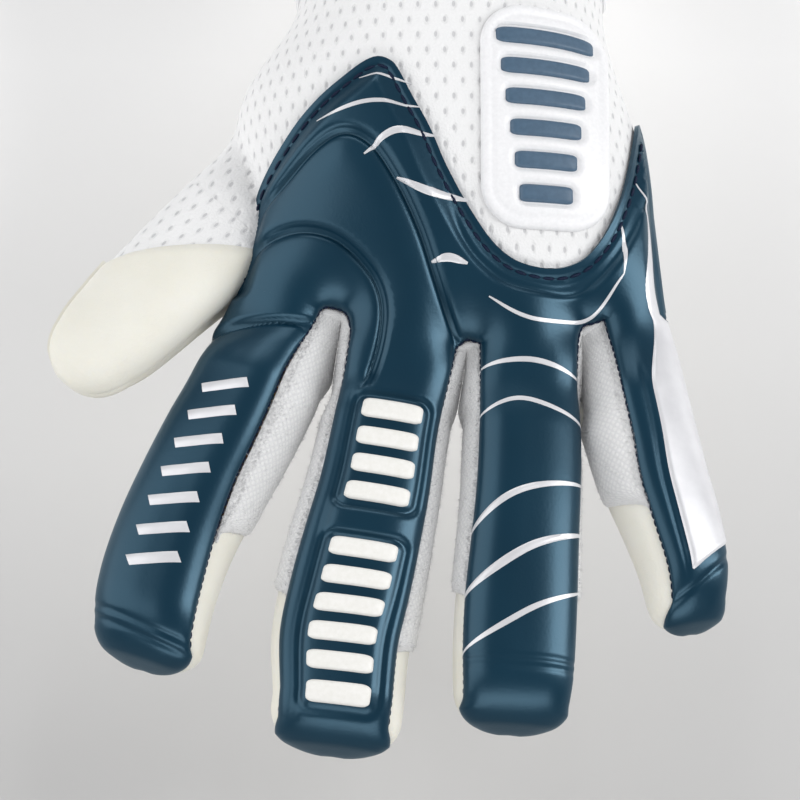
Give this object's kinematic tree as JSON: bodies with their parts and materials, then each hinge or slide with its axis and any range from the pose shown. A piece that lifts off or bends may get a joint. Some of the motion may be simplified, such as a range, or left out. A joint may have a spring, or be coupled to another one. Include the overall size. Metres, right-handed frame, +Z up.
{
  "type": "goalkeeper glove",
  "caption": "Left-hand goalkeeper glove with a latex palm, embossed foam backhand, mesh back, towelling finger sides and a strapped elastic cuff.",
  "frame": {"origin": "on the palm's flat underside, at the middle of the palm", "axes": "+Z up through the back of the hand, -Y along the fingers, -X to the thumb, with the glove lying palm down"},
  "size_m": [0.1574, 0.2548, 0.0454],
  "materials": {
    "backhand_foam": "satin embossed coating",
    "palm_latex": "matte latex foam",
    "towelling": "looped towelling",
    "air_mesh": "perforated spacer mesh",
    "lining": "plain jersey",
    "punch_rubber": "matte moulded rubber",
    "silver_film": "satin silver film",
    "vent_plate": "matte welded film",
    "cuff_knit": "ribbed elastic knit",
    "navy_webbing": "woven webbing",
    "loop_pile": "hook and loop tape",
    "pull_rubber": "matte moulded rubber"
  },
  "bodies": {
    "hand": {"palm_latex": "palm_latex", "palm_lining": "lining", "mesh_body": "air_mesh", "back_lining": "lining", "backhand_panel": "backhand_foam", "crotch_gussets": "towelling", "vent_plate": "vent_plate", "vent_inlay": "backhand_foam", "cuff": "cuff_knit", "cuff_binding": "navy_webbing", "wrist_strap": "navy_webbing", "loop_patch": "loop_pile", "thumb_web": "air_mesh", "thumb_crease": "palm_latex", "index_crease_root": "palm_latex", "middle_crease_root": "palm_latex", "ring_crease_root": "palm_latex", "little_crease_root": "palm_latex"},
    "index_base": {"index_pad_base": "backhand_foam", "index_latex_base": "palm_latex", "index_gussets_base": "towelling", "index_crease_mid": "palm_latex"},
    "index_tip": {"index_pad_tip": "backhand_foam", "index_latex_tip": "palm_latex", "index_gussets_tip": "towelling"},
    "middle_base": {"middle_pad_base": "backhand_foam", "middle_latex_base": "palm_latex", "middle_gussets_base": "towelling", "middle_crease_mid": "palm_latex", "middle_ribs_base": "punch_rubber"},
    "middle_tip": {"middle_pad_tip": "backhand_foam", "middle_latex_tip": "palm_latex", "middle_gussets_tip": "towelling", "middle_ribs_tip": "punch_rubber"},
    "ring_base": {"ring_pad_base": "backhand_foam", "ring_latex_base": "palm_latex", "ring_gussets_base": "towelling", "ring_crease_mid": "palm_latex"},
    "ring_tip": {"ring_pad_tip": "backhand_foam", "ring_latex_tip": "palm_latex", "ring_gussets_tip": "towelling"},
    "little_base": {"little_pad_base": "backhand_foam", "little_latex_base": "palm_latex", "little_gussets_base": "towelling", "little_crease_mid": "palm_latex", "little_flash_base": "silver_film"},
    "little_tip": {"little_pad_tip": "backhand_foam", "little_latex_tip": "palm_latex", "little_gussets_tip": "towelling", "little_flash_tip": "silver_film"},
    "thumb": {"thumb_wrap": "palm_latex", "thumb_palm": "palm_latex"},
    "strap_flap": {"strap_flap": "navy_webbing", "hook_patch": "loop_pile", "flap_pull": "pull_rubber"}
  },
  "joints": [
    {"name": "index_root_flex", "type": "hinge", "parent": "hand", "child": "index_base", "pos_m": [-0.03733, -0.0458, 0.01], "axis": [0.9367, -0.3502, 0], "range_deg": [-10, 60], "stiffness_Nm_per_rad": 0.12, "deforming": ["index_crease_root"]},
    {"name": "index_mid_flex", "type": "hinge", "parent": "index_base", "child": "index_tip", "pos_m": [-0.0481, -0.07462, 0.01], "axis": [0.9367, -0.3502, 0], "range_deg": [-10, 60], "stiffness_Nm_per_rad": 0.08, "deforming": ["index_crease_mid"]},
    {"name": "middle_root_flex", "type": "hinge", "parent": "hand", "child": "middle_base", "pos_m": [-0.00913, -0.05588, 0.01], "axis": [0.989, -0.1478, 0], "range_deg": [-10, 60], "stiffness_Nm_per_rad": 0.12, "deforming": ["middle_crease_root"]},
    {"name": "middle_mid_flex", "type": "hinge", "parent": "middle_base", "child": "middle_tip", "pos_m": [-0.01418, -0.08962, 0.01], "axis": [0.989, -0.1478, 0], "range_deg": [-10, 60], "stiffness_Nm_per_rad": 0.08, "deforming": ["middle_crease_mid"]},
    {"name": "ring_root_flex", "type": "hinge", "parent": "hand", "child": "ring_base", "pos_m": [0.02014, -0.05699, 0.01], "axis": [0.9994, -0.0349, 0], "range_deg": [-10, 60], "stiffness_Nm_per_rad": 0.12, "deforming": ["ring_crease_root"]},
    {"name": "ring_mid_flex", "type": "hinge", "parent": "ring_base", "child": "ring_tip", "pos_m": [0.01905, -0.08821, 0.01], "axis": [0.9994, -0.0349, 0], "range_deg": [-10, 60], "stiffness_Nm_per_rad": 0.08, "deforming": ["ring_crease_mid"]},
    {"name": "little_root_flex", "type": "hinge", "parent": "hand", "child": "little_base", "pos_m": [0.04701, -0.04872, 0.01], "axis": [0.9744, 0.225, 0], "range_deg": [-10, 60], "stiffness_Nm_per_rad": 0.12, "deforming": ["little_crease_root"]},
    {"name": "little_mid_flex", "type": "hinge", "parent": "little_base", "child": "little_tip", "pos_m": [0.05241, -0.07214, 0.01], "axis": [0.9744, 0.225, 0], "range_deg": [-10, 60], "stiffness_Nm_per_rad": 0.08, "deforming": ["little_crease_mid"]},
    {"name": "thumb_flex", "type": "hinge", "parent": "hand", "child": "thumb", "pos_m": [-0.05738, -0.02205, 0.01], "axis": [0.7314, -0.682, 0], "range_deg": [-10, 60], "stiffness_Nm_per_rad": 0.12, "deforming": ["thumb_crease"]},
    {"name": "strap_open", "type": "hinge", "parent": "hand", "child": "strap_flap", "pos_m": [0.018, 0.074, 0.04535], "axis": [0, 1, 0], "range_deg": [0, 120]}
  ]
}
